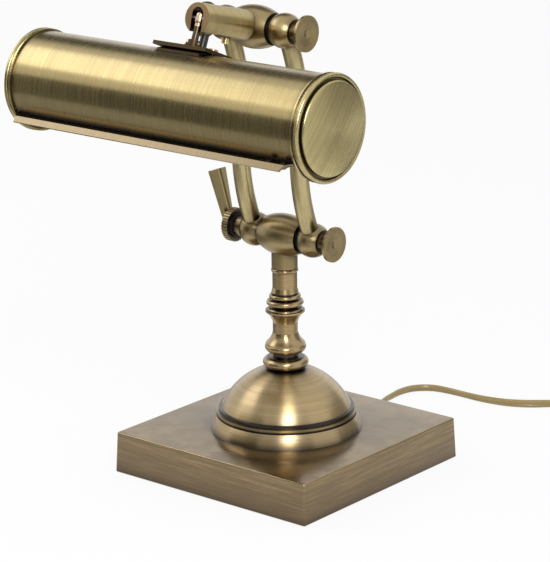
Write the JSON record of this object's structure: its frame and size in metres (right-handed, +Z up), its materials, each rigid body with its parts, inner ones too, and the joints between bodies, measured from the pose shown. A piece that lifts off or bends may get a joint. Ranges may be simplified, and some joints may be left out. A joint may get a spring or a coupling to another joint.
{
  "type": "bankers lamp",
  "caption": "Antique brass table lamp: half-open cylindrical shade on curved twin swing arms with pivots and a clamp lever, turned column, domed foot, square base.",
  "frame": {"origin": "centre of the base's underside, on the table", "axes": "+X along the pivots and the shade to the right, -Y to the front under the shade's lip, +Z up"},
  "size_m": [0.3468, 0.342, 0.3016],
  "materials": {
    "antique_brass": "brushed, antiqued, lacquered",
    "dark_brass": "dark antiqued",
    "steel": "zinc plated",
    "black_plastic": "satin",
    "cord_sheath": "smooth gold sheath",
    "gold_plastic": "satin gold",
    "cast_weight": "raw cast",
    "sole_rubber": "matt",
    "holder_body": "moulded",
    "bulb_metal": "bright",
    "bulb_glass": "clear"
  },
  "bodies": {
    "stand": {"base_shell": "antique_brass", "base_weight": "cast_weight", "base_sole": "sole_rubber", "tie_rod": "steel", "tie_nut": "steel", "tie_washer": "steel", "inner_lead": "cord_sheath", "dome_foot": "antique_brass", "column_seat": "antique_brass", "column_baluster": "antique_brass", "column_neck": "antique_brass", "lower_barrel": "antique_brass", "lower_washers": "black_plastic", "cord_gland": "black_plastic", "cord_lead": "cord_sheath", "switch_base": "gold_plastic", "switch_cover": "gold_plastic", "cord_link": "cord_sheath", "cord_coil": "cord_sheath", "coil_tie": "black_plastic", "cord_tail": "cord_sheath", "plug_body": "gold_plastic", "plug_pins": "steel"},
    "arms": {"left_arm": "antique_brass", "right_arm": "antique_brass", "left_lower_knuckle": "antique_brass", "right_lower_knuckle": "antique_brass", "left_upper_knuckle": "antique_brass", "right_upper_knuckle": "antique_brass", "lower_bolt": "steel", "upper_bolt": "steel", "lower_cap": "antique_brass", "upper_left_cap": "antique_brass", "upper_right_cap": "antique_brass", "clamp_spacer": "antique_brass", "clamp_ring": "black_plastic"},
    "clamp": {"clamp_disc": "antique_brass", "clamp_lever": "antique_brass"},
    "head": {"upper_barrel": "antique_brass", "upper_washers": "black_plastic", "head_tube": "antique_brass", "tube_screw": "antique_brass", "hinge_pin": "steel"},
    "shade": {"hinge_tongue": "dark_brass", "tongue_block": "dark_brass", "tongue_screw": "antique_brass", "lead_sleeve": "black_plastic", "saddle_plate": "dark_brass", "saddle_base": "dark_brass", "saddle_rivets": "antique_brass", "shade_body": "antique_brass", "left_end_cap": "antique_brass", "right_end_cap": "antique_brass", "lip_rivets": "dark_brass", "holder_bracket": "steel", "lamp_holder": "holder_body", "bulb_cap": "bulb_metal", "bulb_glass": "bulb_glass"},
    "rocker": {"switch_rocker": "black_plastic"}
  },
  "joints": [
    {"name": "arm_tilt", "type": "hinge", "parent": "stand", "child": "arms", "pos_m": [0, 0, 0.1484], "axis": [1, 0, 0], "range_deg": [-40, 50]},
    {"name": "head_tilt", "type": "hinge", "parent": "arms", "child": "head", "pos_m": [0, -0.02427, 0.28], "axis": [1, 0, 0], "range_deg": [-45, 25]},
    {"name": "shade_tilt", "type": "hinge", "parent": "head", "child": "shade", "pos_m": [0, -0.07286, 0.2922], "axis": [1, 0, 0], "range_deg": [-65, 22]},
    {"name": "clamp_turn", "type": "hinge", "parent": "arms", "child": "clamp", "pos_m": [0, 0, 0.1484], "axis": [1, 0, 0], "range_deg": [-60, 60]},
    {"name": "switch_tip", "type": "hinge", "parent": "stand", "child": "rocker", "pos_m": [0.125, 0.205, 0.012], "axis": [0, 1, 0], "range_deg": [0, 14]}
  ]
}
